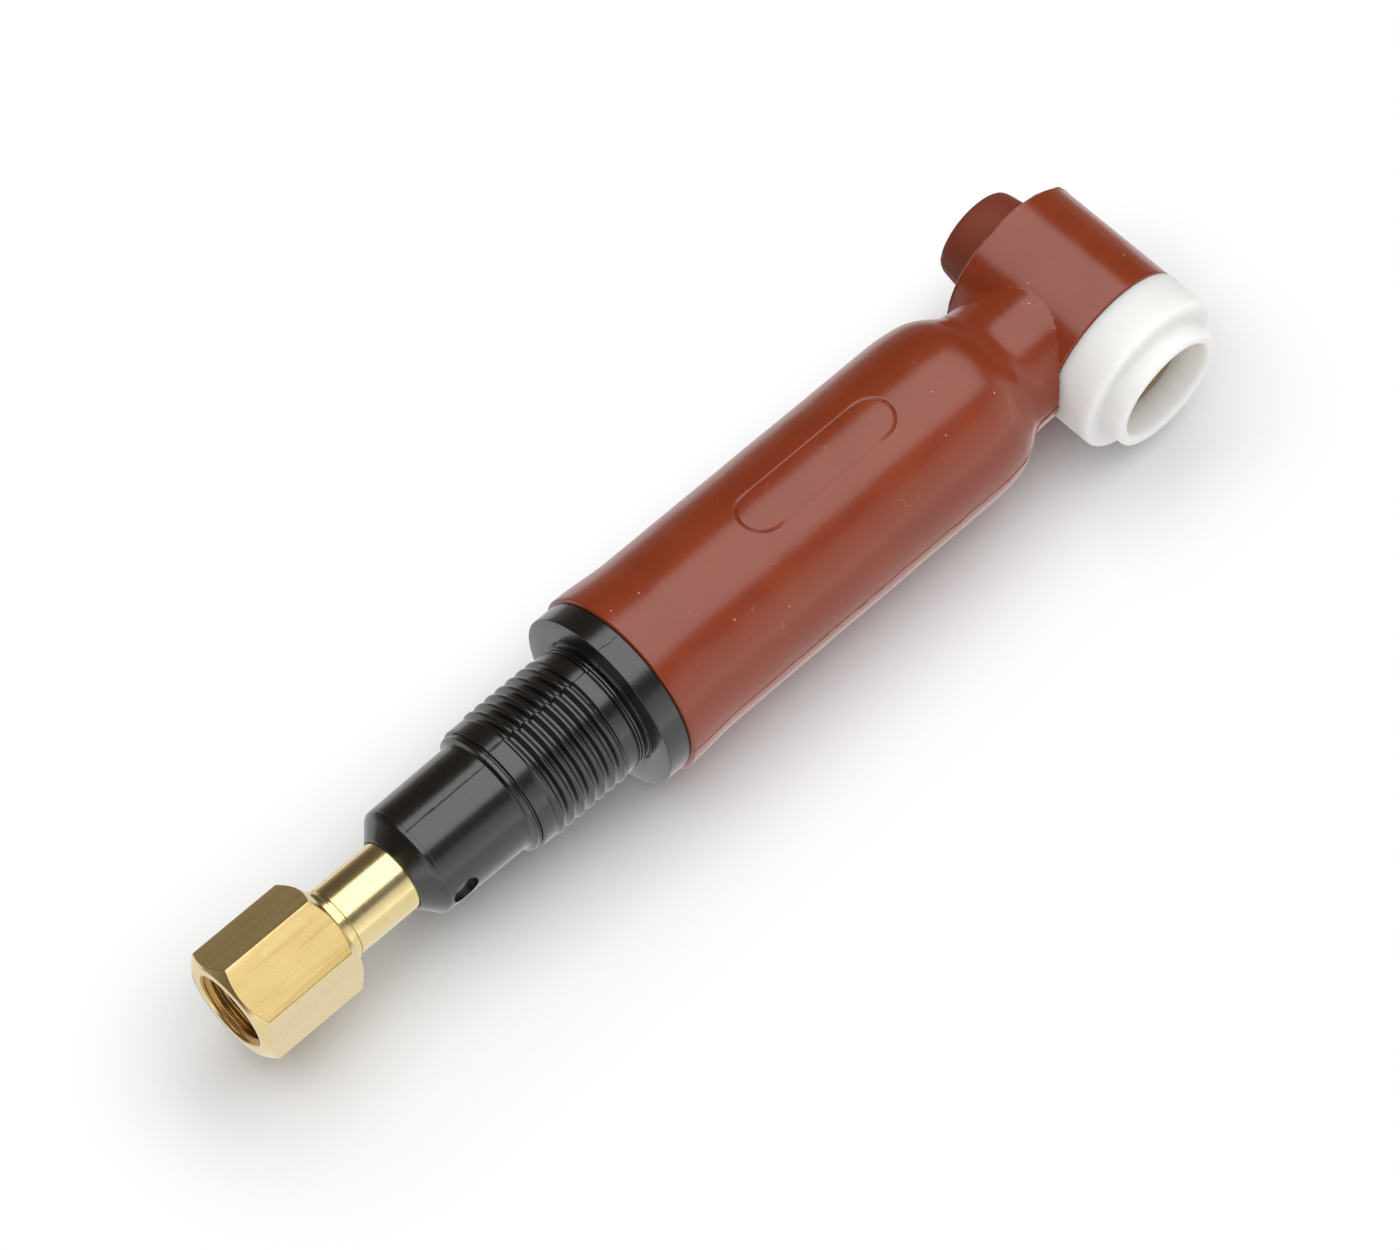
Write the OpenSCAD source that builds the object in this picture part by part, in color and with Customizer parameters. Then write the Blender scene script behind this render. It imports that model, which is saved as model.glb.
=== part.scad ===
// Head and flexible neck of an air-cooled TIG torch, without its cable, handle shell and front parts.
// X is the handle axis, towards the cable. Y is the electrode axis, towards the cup. Millimetres.
// The two axes cross at the origin.

/* [Cable adapter] */
// Hexagon, across flats
hex_af = 12.7; // [12.4:0.1:14]
// Length of the hexagon
hex_len = 13.8; // [13:0.1:20]
// Turn of the hexagon about the handle axis, degrees
hex_turn = 7; // [0:1:59]
// Diameter at which the hexagon's end chamfers start
hex_face_d = 12; // [11:0.1:12.4]
// Bore of the female cable thread (3/8 inch, 24 turns to the inch)
cable_thread_d = 8.5; // [8.3:0.05:8.8]
// Depth of the cable thread, from the hexagon's face
cable_thread_len = 11; // [9:0.5:12]
// Countersink at the mouth of the cable thread
cable_mouth_d = 10.4; // [9.2:0.1:10.6]
// Length of the collar behind the hexagon
collar_len = 1; // [0.5:0.1:2]
// Diameter of the collar
collar_d = 9.3; // [9:0.1:10]
// Width of the groove between collar and stem
stem_groove_len = 0.5; // [0.3:0.1:1]
// Diameter in the groove
stem_groove_d = 8.2; // [7.8:0.1:8.6]
// Diameter of the stem
stem_d = 8.76; // [8.4:0.02:9]
// Bare length between the hexagon and the connector
stem_shown = 9.75; // [4:0.05:20]
// Length of the stem inside the connector
stem_grip = 30; // [24:0.5:30.5]
// Gas bore through the stem
stem_bore_d = 4.6; // [3.5:0.1:5.4]
// Depth of the stem's socket for the neck tube
tube_socket = 8; // [5:0.5:12]

/* [Handle connector] */
// Diameter of the flange
flange_d = 22.8; // [21:0.1:26]
// Thickness of the flange
flange_t = 3.2; // [2:0.1:6]
// Radius of the flange's rim
flange_round = 0.45; // [0.2:0.05:0.9]
// Inner diameter of the flange's seating face
seat_face_d = 16.8; // [16.8:0.1:18]
// Diameter of the ring beside the flange
seat_ring_d = 16.2; // [15.8:0.1:16.2]
// Width of the ring, and of the groove on each side of it
seat_ring_w = 0.46; // [0.3:0.02:0.8]
// Diameter in those grooves
seat_groove_d = 15.5; // [14.5:0.1:15.9]
// Diameter of the plain bands at both ends of the handle thread
band_d = 16.2; // [15.8:0.1:16.2]
// Length of the band beside the flange
band_len = 1.8; // [1:0.1:4]
// Crest diameter of the handle thread
thread_d = 16.6; // [16.4:0.02:17.2]
// Root diameter of the handle thread
thread_root_d = 15.3; // [14.6:0.1:15.8]
// Pitch of the handle thread
thread_pitch = 1.54; // [1.2:0.02:2]
// Turns of the handle thread
thread_turns = 7; // [5:1:9]
// Length of the band beyond the thread
end_band_len = 1.9; // [1:0.1:4]
// Diameter of the ring at the barrel's step
step_ring_d = 15.6; // [15:0.1:16]
// Width of the step ring
step_ring_w = 0.5; // [0.3:0.05:1]
// Width of the groove before the step ring
step_groove_w = 0.3; // [0.2:0.05:0.6]
// Diameter of the barrel at the step
barrel_d = 14.1; // [13.6:0.1:14.6]
// Diameter of the barrel at its end
barrel_end_d = 13.8; // [13.2:0.1:14]
// Length of the barrel
barrel_len = 11.4; // [8:0.1:20]
// Length of the cone at the connector's end
cone_len = 1.95; // [1:0.05:4]
// Diameter of the locating hole in the barrel's side
side_hole_d = 3.5; // [2.5:0.1:4.5]
// Locating hole to the end of the barrel
side_hole_back = 2.5; // [2.4:0.1:4]
// Diameter of the spigot inside the sleeve
spigot_d = 15.4; // [14:0.1:15.6]
// Length of the spigot
spigot_len = 10; // [6:0.5:12]
// Diameter of the two ribs that hold the sleeve on the spigot
rib_d = 18; // [17:0.1:19]
// Width of each rib
rib_w = 1.6; // [1:0.1:2]

/* [Neck] */
// Head axis to the flange
neck_reach = 72.2; // [68:0.1:110]
// Diameter of the rubber sleeve
sleeve_d = 22.92; // [21.5:0.02:26]
// Diameter of the sleeve's lip at the flange
lip_d = 23.8; // [23.2:0.1:27]
// Length of the lip's straight part
lip_len = 1.8; // [1:0.1:4]
// Length over which the lip runs out
lip_fade = 2.4; // [1:0.1:4]
// Flange to the sideways bend
rear_len = 18.2; // [14:0.1:24]
// Head axis to the up and down bend
front_len = 32; // [24:0.5:34]
// Outer diameter of the copper neck tube
tube_d = 6.35; // [6:0.05:6.6]
// Bore of the neck tube
tube_bore_d = 4.4; // [3.6:0.1:4.8]
// Length of each braze ring
braze_len = 1.2; // [0.8:0.1:1.8]
// Outer diameter of each braze ring, at its joint
braze_d = 8.4; // [7.6:0.1:8.6]

/* [Head] */
// Diameter of the rubber over the head
head_d = 20.8; // [19.8:0.1:23]
// Handle axis to the rubber's front face
head_front = 7.1; // [6.5:0.1:12]
// Handle axis to the rubber's back face
head_back = 9.6; // [9.2:0.1:14]
// Rounding of the head's back edge
head_round = 0.2; // [0.2:0.1:1.2]
// Diameter of the rubber over the back cap's socket
boss_d = 12.2; // [11.7:0.1:13]
// Handle axis to the end of the back cap's socket
boss_reach = 15.4; // [14:0.1:22]
// Rounding of the socket's end
boss_round = 0.35; // [0.1:0.05:0.4]
// Diameter of the rubber neck behind the head
stub_d = 17; // [17:0.1:19.4]
// Head axis to the start of the sleeve's shoulder
shoulder_x = 14; // [13:0.1:14.5]
// Length of the shoulder
shoulder_len = 9; // [6:0.1:9.4]
// Diameter of the brass barrel of the head
core_d = 16.4; // [15.8:0.1:17]
// Rubber behind the brass barrel
core_skin = 1.6; // [1:0.1:2.4]
// Diameter of the brass back cap socket
core_boss_d = 10.3; // [10:0.1:10.5]
// Brass sits below the rubber at the back cap's socket by
boss_recess = 0.4; // [0.2:0.1:0.8]
// Diameter of the brass socket that holds the neck tube
neck_socket_d = 10; // [9:0.1:12]
// Head axis to the mouth of the neck socket
neck_socket_x = 13.5; // [12.5:0.1:16]
// Head axis to the end of the neck tube
tube_end_x = 5.6; // [5.2:0.1:7.4]
// Diameter of the gas port from the tube to the head's bore
port_d = 3.6; // [2.5:0.1:4.2]
// Bore of the collet body's and the back cap's threads
head_thread_d = 8.7; // [8.4:0.05:9]
// Depth of the back cap's thread
cap_thread_len = 9; // [6:0.5:11]
// Bore between the two threads
chamber_d = 7; // [6:0.1:8]
// Chamfer at the mouth of each thread
mouth_chamfer = 0.4; // [0.2:0.1:0.6]
// Diameter of the brass nose that holds the gasket
nose_d = 15.2; // [14.8:0.1:16]
// Length of the brass nose
nose_len = 3.7; // [2:0.1:4]

/* [Cup gasket] */
// Diameter of the gasket
gasket_d = 21; // [20:0.1:23]
// Length of the gasket's body
gasket_body = 5.8; // [4.6:0.1:7.4]
// Rounding of the body's front edge
gasket_round = 0.5; // [0.4:0.1:1.4]
// Diameter of the gasket's front ring
ring_d = 16.1; // [15.6:0.1:17]
// Overall length of the gasket
gasket_len = 8.7; // [8.6:0.1:12]
// Radius in the corner between body and ring
cove_r = 0.8; // [0.3:0.1:1]
// Bore that takes the back of the cup
cup_bore_d = 13.4; // [13:0.1:14.7]
// Rounding of the ring's lip
lip_round = 0.25; // [0.1:0.05:0.35]

/* [Clearances] */
// Radial gap round a piece that is moulded on or brazed in
fit_gap = 0.05; // [0.02:0.01:0.1]
// Radial gap of the gasket on the nose
slide_gap = 0.06; // [0.03:0.01:0.1]
// Radial gap between the rubber and the neck tube
tube_gap = 0.15; // [0.1:0.05:0.3]
// Radial gap between the gasket's side and the rubber neck
gasket_gap = 0.15; // [0.1:0.05:0.3]

/* [Hidden] */
$fn = 96;
cut = 1;
arc_steps = 10;
hex_chamfer_deg = 38;
seat_undercut = 0.25;
thread_crest_w = 0.5;
thread_flank_w = 0.3;
thread_root_w = thread_pitch - thread_crest_w - 2 * thread_flank_w;

flange_x = neck_reach;
seat_x = flange_x + flange_t;
seat_ring_x = seat_x + seat_ring_w;
band_x = seat_ring_x + 2 * seat_ring_w;
thread_x = band_x + band_len;
thread_end_x = thread_x + thread_turns * thread_pitch;
step_groove_x = thread_end_x + end_band_len;
step_ring_x = step_groove_x + step_groove_w;
step_x = step_ring_x + step_ring_w;
barrel_x = step_x + (step_ring_d - barrel_d) / 2;
cone_x = barrel_x + barrel_len;
connector_end_x = cone_x + cone_len;
cone_end_d = stem_d + 0.6;
spigot_x = flange_x - spigot_len;
stem_end_x = connector_end_x - stem_grip;
hex_x = connector_end_x + stem_shown;
hex_face_x = hex_x + hex_len;
tube_far_x = stem_end_x + tube_socket;
side_bend_x = flange_x - rear_len;
up_bend_x = front_len;
core_back = head_back - core_skin;
nose_y = head_front + nose_len;
ledge_y = nose_y + 0.1;
gasket_front = head_front + gasket_len;

// ---- Helpers: turned shapes are drawn as [radius, distance along the axis] ----

module along_x() { rotate([0, 90, 0]) children(); }

module along_y() { rotate([-90, 0, 0]) children(); }

module turned(outline) { rotate_extrude() polygon(outline); }

module rod(d, from, to) { translate([0, 0, from]) cylinder(d = d, h = to - from); }

// Points of a rounded corner, as an arc about [r, x] from one angle to another
function arc(r, x, radius, from, to) =
    [for (i = [0 : arc_steps]) let (a = from + (to - from) * i / arc_steps)
        [r + radius * cos(a), x + radius * sin(a)]];

// Quarter of an ellipse from the sleeve's full radius down to the stub's
function shoulder() =
    [for (i = [0 : arc_steps]) let (a = 90 * i / arc_steps)
        [stub_d / 2 + (sleeve_d - stub_d) / 2 * cos(a), shoulder_x + shoulder_len * (1 - sin(a))]];

// One turn of the handle thread as a ring with a flat crest
function ridge(x) =
    [[thread_root_d / 2, x + thread_root_w / 2],
     [thread_d / 2, x + thread_root_w / 2 + thread_flank_w],
     [thread_d / 2, x + thread_root_w / 2 + thread_flank_w + thread_crest_w],
     [thread_root_d / 2, x + thread_pitch - thread_root_w / 2]];

// ---- Cable adapter: hexagon with a female thread, and the stem that carries the neck tube ----

module hex_blank() {
    face_r = hex_face_d / 2;
    corner_r = hex_af / 2 / cos(30) + cut;
    chamfer = (corner_r - face_r) * tan(hex_chamfer_deg);
    intersection() {
        rotate([hex_turn, 0, 0])
            along_x()
                translate([0, 0, hex_x])
                    cylinder(d = hex_af / cos(30), h = hex_len, $fn = 6);
        along_x()
            turned([[0, hex_x], [face_r, hex_x], [corner_r, hex_x + chamfer],
                    [corner_r, hex_face_x - chamfer], [face_r, hex_face_x], [0, hex_face_x]]);
    }
}

module stem_blank() {
    collar_x = hex_x - collar_len;
    groove_x = collar_x - stem_groove_len;
    turned([[0, stem_end_x], [stem_d / 2, stem_end_x], [stem_d / 2, groove_x],
            [stem_groove_d / 2, groove_x], [stem_groove_d / 2, collar_x],
            [collar_d / 2, collar_x], [collar_d / 2, hex_x + cut], [0, hex_x + cut]]);
}

module adapter_bore() {
    socket_r = tube_d / 2 + fit_gap;
    thread_r = cable_thread_d / 2;
    mouth_r = cable_mouth_d / 2;
    floor_x = hex_face_x - cable_thread_len;
    turned([[0, stem_end_x - cut], [socket_r, stem_end_x - cut], [socket_r, tube_far_x + fit_gap],
            [stem_bore_d / 2, tube_far_x + fit_gap], [stem_bore_d / 2, floor_x - (thread_r - stem_bore_d / 2)],
            [thread_r, floor_x], [thread_r, hex_face_x - (mouth_r - thread_r)],
            [mouth_r, hex_face_x], [mouth_r, hex_face_x + cut], [0, hex_face_x + cut]]);
}

module cable_adapter() {
    color("#d8bf73")
        difference() {
            union() {
                hex_blank();
                along_x() stem_blank();
            }
            along_x() adapter_bore();
        }
}

// ---- Braze rings: a fillet of filler where the neck tube leaves each socket ----

module braze_ring(x, away) {
    tube_r = tube_d / 2 + fit_gap;
    along_x()
        turned([[tube_r, x], [braze_d / 2, x], [tube_r + 0.3, x + away * braze_len],
                [tube_r, x + away * braze_len]]);
}

module rear_braze() { color("#c9b26a") braze_ring(stem_end_x, -1); }

module front_braze() { color("#c9b26a") braze_ring(neck_socket_x, 1); }

// ---- Handle connector: moulded on the stem, with the flange and thread that carry the handle ----

module spigot(gap) {
    pitch = spigot_len / 3;
    along_x() {
        rod(spigot_d + 2 * gap, spigot_x - gap, flange_x + cut);
        for (i = [0 : 1])
            rod(rib_d + 2 * gap, spigot_x + pitch * i + rib_w / 2 - gap, spigot_x + pitch * i + 1.5 * rib_w + gap);
    }
}

module connector_outside() {
    flange_r = flange_d / 2;
    along_x()
        turned(concat(
            [[0, flange_x], [flange_r, flange_x]],
            arc(flange_r - flange_round, seat_x - flange_round, flange_round, 0, 90),
            [[seat_face_d / 2, seat_x], [seat_groove_d / 2, seat_x - seat_undercut], [seat_groove_d / 2, seat_ring_x], [seat_ring_d / 2, seat_ring_x],
             [seat_ring_d / 2, seat_ring_x + seat_ring_w], [seat_groove_d / 2, seat_ring_x + seat_ring_w],
             [seat_groove_d / 2, band_x], [band_d / 2, band_x], [band_d / 2, thread_x],
             [thread_root_d / 2, thread_x]],
            [for (i = [0 : thread_turns - 1]) each ridge(thread_x + i * thread_pitch)],
            [[thread_root_d / 2, thread_end_x], [band_d / 2, thread_end_x], [band_d / 2, step_groove_x],
             [barrel_d / 2, step_groove_x], [barrel_d / 2, step_ring_x], [step_ring_d / 2, step_ring_x],
             [step_ring_d / 2, step_x], [barrel_d / 2, barrel_x], [barrel_end_d / 2, cone_x],
             [cone_end_d / 2, connector_end_x], [0, connector_end_x]]));
}

module handle_connector() {
    color("#1c1c1d")
        difference() {
            union() {
                connector_outside();
                spigot(0);
            }
            along_x() {
                rod(stem_d + 2 * fit_gap, stem_end_x - braze_len - fit_gap, connector_end_x + cut);
                rod(tube_d + 2 * tube_gap, spigot_x - cut, stem_end_x);
            }
            translate([cone_x - side_hole_back, 0, 0])
                along_y()
                    cylinder(d = side_hole_d, h = barrel_d);
        }
}

// ---- Neck sleeve: one rubber moulding, parted at the two bends ----

module tube_way(from, to) {
    along_x() rod(tube_d + 2 * tube_gap, from - cut, to + cut);
}

module neck_sleeve_rear() {
    color("#8c3a24")
        difference() {
            along_x()
                turned([[0, side_bend_x], [sleeve_d / 2, side_bend_x],
                        [sleeve_d / 2, flange_x - lip_len - lip_fade], [lip_d / 2, flange_x - lip_len],
                        [lip_d / 2, flange_x], [0, flange_x]]);
            spigot(fit_gap);
            tube_way(side_bend_x, flange_x);
        }
}

module neck_sleeve_middle() {
    color("#91402a")
        difference() {
            along_x() rod(sleeve_d, up_bend_x, side_bend_x);
            tube_way(up_bend_x, side_bend_x);
        }
}

module neck_tube() {
    color("#b5683f")
        along_x()
            difference() {
                rod(tube_d, tube_end_x, tube_far_x);
                rod(tube_bore_d, tube_end_x - cut, tube_far_x + cut);
            }
}

// ---- Head: brass body with its rubber jacket ----

module core_outside(gap) {
    along_y() {
        rod(core_d + 2 * gap, -core_back - gap, head_front);
        rod(core_boss_d + 2 * gap, boss_recess - boss_reach, 0);
    }
    along_x() rod(neck_socket_d + 2 * gap, 0, neck_socket_x + gap);
}

module head_bore() {
    thread_r = head_thread_d / 2;
    chamber_r = chamber_d / 2;
    back_y = boss_recess - boss_reach;
    floor_y = back_y + cap_thread_len;
    turned([[0, back_y - cut], [thread_r + mouth_chamfer, back_y - cut], [thread_r + mouth_chamfer, back_y],
            [thread_r, back_y + mouth_chamfer], [thread_r, floor_y], [chamber_r, floor_y + thread_r - chamber_r],
            [chamber_r, chamber_r - thread_r], [thread_r, 0], [thread_r, nose_y - mouth_chamfer],
            [thread_r + mouth_chamfer, nose_y], [thread_r + mouth_chamfer, nose_y + cut], [0, nose_y + cut]]);
}

module head_body() {
    color("#cdb166")
        difference() {
            union() {
                core_outside(0);
                along_y() rod(nose_d, 0, nose_y);
            }
            along_y() head_bore();
            along_x() {
                rod(tube_d + 2 * fit_gap, tube_end_x - fit_gap, neck_socket_x + cut);
                rod(port_d, 0, tube_end_x);
            }
        }
}

module jacket_outside() {
    head_r = head_d / 2;
    boss_r = boss_d / 2;
    along_y() {
        turned(concat(
            [[0, head_front], [head_r, head_front]],
            arc(head_r - head_round, head_round - head_back, head_round, 0, -90),
            [[0, -head_back]]));
        turned(concat(
            [[0, 0], [boss_r, 0]],
            arc(boss_r - boss_round, boss_round - boss_reach, boss_round, 0, -90),
            [[0, -boss_reach]]));
    }
    along_x()
        turned(concat(
            [[0, up_bend_x], [sleeve_d / 2, up_bend_x]],
            [for (i = [arc_steps : -1 : 0]) shoulder()[arc_steps - i]],
            [[stub_d / 2, 0], [0, 0]]));
}

module head_jacket() {
    color("#8c3a24")
        difference() {
            jacket_outside();
            core_outside(fit_gap);
            along_y() {
                rod(core_boss_d + 2 * fit_gap, -boss_reach - cut, 0);
                rod(gasket_d + 2 * gasket_gap, head_front, head_front + sleeve_d);
            }
            along_x() rod(braze_d + 2 * fit_gap, neck_socket_x, neck_socket_x + braze_len + fit_gap);
            tube_way(neck_socket_x, up_bend_x);
        }
}

// ---- Cup gasket: slides on the brass nose and takes the back of the cup ----

module cup_gasket() {
    body_r = gasket_d / 2;
    ring_r = ring_d / 2;
    body_y = head_front + gasket_body;
    color("#f2f1ee")
        along_y()
            difference() {
                turned(concat(
                    [[0, head_front], [body_r, head_front]],
                    arc(body_r - gasket_round, body_y - gasket_round, gasket_round, 0, 90),
                    arc(ring_r + cove_r, body_y + cove_r, cove_r, 270, 180),
                    arc(ring_r - lip_round, gasket_front - lip_round, lip_round, 0, 90),
                    [[0, gasket_front]]));
                rod(nose_d + 2 * slide_gap, head_front - cut, ledge_y);
                rod(cup_bore_d, head_front, gasket_front + cut);
            }
}

cable_adapter();
rear_braze();
handle_connector();
neck_sleeve_rear();
neck_tube();
neck_sleeve_middle();
head_body();
front_braze();
head_jacket();
cup_gasket();
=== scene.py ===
# %% [markdown]
# The object is the head and flexible neck of an air-cooled TIG welding torch: a brass cable adapter, a black moulded
# connector, a soft red-brown rubber neck with a copper tube in it, and a brass head with a white seal for the ceramic
# cup. The solid model comes in first as a fixed frame, and everything here is modelled around it, in metres and in
# its place.

import math

import bmesh
import bpy
from mathutils import Matrix, Vector, noise


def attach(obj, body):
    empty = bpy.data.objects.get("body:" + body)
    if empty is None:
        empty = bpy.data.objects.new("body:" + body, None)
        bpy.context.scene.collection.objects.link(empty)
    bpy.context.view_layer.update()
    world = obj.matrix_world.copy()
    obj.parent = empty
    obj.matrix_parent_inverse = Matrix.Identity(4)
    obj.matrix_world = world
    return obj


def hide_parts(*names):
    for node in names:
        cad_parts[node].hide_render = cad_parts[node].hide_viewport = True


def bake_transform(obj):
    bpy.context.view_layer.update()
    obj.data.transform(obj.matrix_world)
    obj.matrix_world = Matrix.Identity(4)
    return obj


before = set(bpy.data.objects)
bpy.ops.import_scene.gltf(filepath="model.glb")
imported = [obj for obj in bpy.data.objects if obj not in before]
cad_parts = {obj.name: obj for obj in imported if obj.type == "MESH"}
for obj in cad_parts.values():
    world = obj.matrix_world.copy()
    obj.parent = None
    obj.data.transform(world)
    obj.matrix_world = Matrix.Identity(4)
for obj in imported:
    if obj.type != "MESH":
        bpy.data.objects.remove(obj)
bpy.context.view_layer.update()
MM = 0.001
print("frame nodes:", sorted(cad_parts))

# %% [markdown]
# Nearly every piece of a torch is turned on a lathe or moulded in a round cavity, so each starts as an outline beside
# its axis and is spun a full turn. The handle axis is X, from the head to the cable, and the electrode axis is Y. An
# outline is a list of (place along the axis, radius) in millimetres, closed on itself, so that bore and outside are
# one skin. It is spun a quarter turn, and that quarter is copied round and welded, which is quicker. Real corners are
# never quite sharp, so a small arc goes into each one: that is what catches the light along an edge.

# %% Outlines with eased corners
def eased(outline, radius=0.1, sharp=()):
    """The same outline with a small three-point arc in each corner, but for those listed in sharp."""
    made = []
    for i, corner in enumerate(outline):
        here, before, after = Vector(corner), Vector(outline[i - 1]), Vector(outline[(i + 1) % len(outline)])
        back, on = before - here, after - here
        turn = math.pi - back.angle(on)
        if i in sharp or turn < 0.25:
            made.append(tuple(here))
            continue
        reach = min(radius * math.tan(turn / 2), 0.45 * back.length, 0.45 * on.length)
        start, end = here + back.normalized() * reach, here + on.normalized() * reach
        made += [tuple(start), tuple((start + end) * 0.25 + here * 0.5), tuple(end)]
    return made


def ramp(low, high, value):
    """Goes smoothly from 0 at low to 1 at high."""
    t = min(max((value - low) / (high - low), 0), 1)
    return t * t * (3 - 2 * t)


print("a right corner becomes", eased([(0, 0), (1, 0), (1, 1)], 0.1, sharp=(0, 2)))

# %% Spin an outline into a skin
SPIN_AXIS = {"X": (1, 0, 0), "Y": (0, 1, 0)}


def spun(outline, axis, columns, rows=()):
    """Spins an outline. Each (from, to, least radius, greatest radius, step) in rows first cuts that stretch finer."""
    skin = bmesh.new()
    start = [(along, radius, 0) if axis == "X" else (0, along, radius) for along, radius in outline]
    points = [skin.verts.new(Vector(place) * MM) for place in start]
    for i, point in enumerate(points):
        skin.edges.new((point, points[(i + 1) % len(points)]))
    for low, high, least, most, step in rows:
        for edge in list(skin.edges):
            ends = [v.co.xy / MM if axis == "X" else v.co.yz / MM for v in edge.verts]
            if all(low - 0.001 <= along <= high + 0.001 and least <= radius <= most for along, radius in ends):
                cuts = math.ceil(edge.calc_length() / MM / step) - 1
                if cuts > 0:
                    bmesh.ops.subdivide_edges(skin, edges=[edge], cuts=cuts)
    around = {"cent": (0, 0, 0), "axis": SPIN_AXIS[axis]}
    bmesh.ops.spin(skin, geom=skin.verts[:] + skin.edges[:], angle=math.tau / 4, steps=columns // 4, **around)
    quarter = skin.verts[:] + skin.edges[:] + skin.faces[:]
    bmesh.ops.spin(skin, geom=quarter, angle=math.tau * 3 / 4, steps=3, use_duplicate=True, **around)
    bmesh.ops.remove_doubles(skin, verts=skin.verts, dist=1e-7)
    bmesh.ops.recalc_face_normals(skin, faces=skin.faces)
    return skin


def facing(angle):
    """How far a direction at this angle, in degrees, goes sideways and up."""
    return math.cos(math.radians(angle)), math.sin(math.radians(angle))


def reshape(skin, axis, rule):
    """Moves each point of a spun skin to the (along, radius, angle) that rule gives for its own, in mm and degrees."""
    for v in skin.verts:
        if axis == "X":
            along, side, up = v.co / MM
        else:
            up, along, side = v.co / MM
        along, radius, angle = rule(along, math.hypot(side, up), math.degrees(math.atan2(up, side)) % 360)
        side, up = (radius * part for part in facing(angle))
        v.co = Vector((along, side, up) if axis == "X" else (up, along, side)) * MM


def gathered(at, share):
    """A rule that draws the columns of a skin together round two opposite angles, where a mould's seam needs them."""
    swing = math.degrees(share / 2)
    return lambda along, radius, angle: (along, radius, angle - swing * math.sin(2 * math.radians(angle - at)))


def wobble(place, row):
    """A smooth chance value at a place along a row, unlike that of every other row."""
    return noise.noise(Vector((place, row, 0)))


def away(angle, at):
    """Degrees from one angle to another, from -180 to 180."""
    return (angle - at + 180) % 360 - 180


# %% [markdown]
# A skin becomes a piece when it gets a name and a material; most pieces then get a body to move with, and the solid
# that a piece stands for is hidden. Smooth shading with hard edges kept sharp suits turned metal, and a Boolean cuts
# side holes and joins shapes that meet at an angle.

# %% Turn skins into pieces
def piece(name, skin, material, sharp_degrees=32):
    """Makes an object at the origin from a skin."""
    mesh = bpy.data.meshes.new(name)
    skin.to_mesh(mesh)
    skin.free()
    made = bpy.data.objects.new(name, mesh)
    bpy.context.scene.collection.objects.link(made)
    mesh.materials.append(material)
    mesh.shade_smooth()
    mesh.set_sharp_from_angle(angle=math.radians(sharp_degrees))
    return made


def combine(made, tool, how, sharp_degrees=32):
    """Joins a tool skin to a piece, or cuts it out of it, and leaves one clean mesh."""
    other = piece("tool", tool, made.data.materials[0])
    boolean = made.modifiers.new("combine", "BOOLEAN")
    boolean.object, boolean.operation, boolean.solver = other, how, "MANIFOLD"
    result = bpy.data.meshes.new_from_object(made.evaluated_get(bpy.context.evaluated_depsgraph_get()))
    made.modifiers.clear()
    old, made.data = made.data, result
    result.name = made.name
    bpy.data.meshes.remove(old)
    bpy.data.meshes.remove(other.data)
    result.shade_smooth()
    result.set_sharp_from_angle(angle=math.radians(sharp_degrees))
    return made


def report(made):
    """Prints a piece's triangles and its size."""
    made.data.calc_loop_triangles()
    size = [round(c / MM, 1) for c in made.dimensions]
    print(made.name, "-", len(made.data.loop_triangles), "triangles,", size, "mm")


# %% [markdown]
# Every finish below is built from nodes. One function adds a node, sets it and links it. Colours are written as the
# sRGB hex values that a screen shows and turned to the linear values that a renderer counts in. Most of a noise lies
# between 0.3 and 0.7, so finishes often spread that range.

# %% Node and colour helpers
MIDDLE = {"From Min": 0.3, "From Max": 0.7}


def linear(hex_code):
    """An sRGB hex colour as linear red, green, blue and alpha."""
    shown = [int(hex_code[i:i + 2], 16) / 255 for i in (1, 3, 5)]
    return tuple(c / 12.92 if c <= 0.04045 else ((c + 0.055) / 1.055) ** 2.4 for c in shown) + (1,)


def add(tree, kind, sockets=None, **settings):
    """Adds a shader node. Sockets are values or the outputs of other nodes, by name or number."""
    node = tree.nodes.new("ShaderNode" + kind)
    for name, value in settings.items():
        setattr(node, name, value)
    for name, value in (sockets or {}).items():
        if isinstance(value, bpy.types.NodeSocket):
            tree.links.new(value, node.inputs[name])
        else:
            node.inputs[name].default_value = value
    return node


def new_material(name):
    """An empty material, with its tree, its output node and the object's coordinates."""
    material = bpy.data.materials.new(name)
    material.use_nodes = True
    material.node_tree.nodes.clear()
    tree = material.node_tree
    return material, tree, add(tree, "OutputMaterial"), add(tree, "TexCoord").outputs["Object"]


def per(size_mm):
    """How many of a thing of this size go into a metre: the scale that a texture needs on object coordinates."""
    return 1 / (size_mm * MM)


def drawn_out(tree, place, squeeze, size_mm, **sockets):
    """A noise squeezed where squeeze is small, which draws it out into lines or rings."""
    squeezed = add(tree, "VectorMath", {0: place, 1: squeeze}, operation="MULTIPLY").outputs[0]
    return add(tree, "TexNoise", {"Vector": squeezed, "Scale": per(size_mm), **sockets}).outputs["Fac"]


def spots(tree, place, apart_mm, core, rim, share):
    """Round spots this far apart, as strong as share inside core and gone outside rim, in parts of that distance."""
    cells = add(tree, "TexVoronoi", {"Vector": place, "Scale": per(apart_mm)}).outputs["Distance"]
    fade = {"From Min": core, "From Max": rim, "To Min": share, "To Max": 0.0}
    return add(tree, "MapRange", {"Value": cells, **fade}).outputs[0]


print("a 2 mm pattern has scale", per(2))
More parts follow.
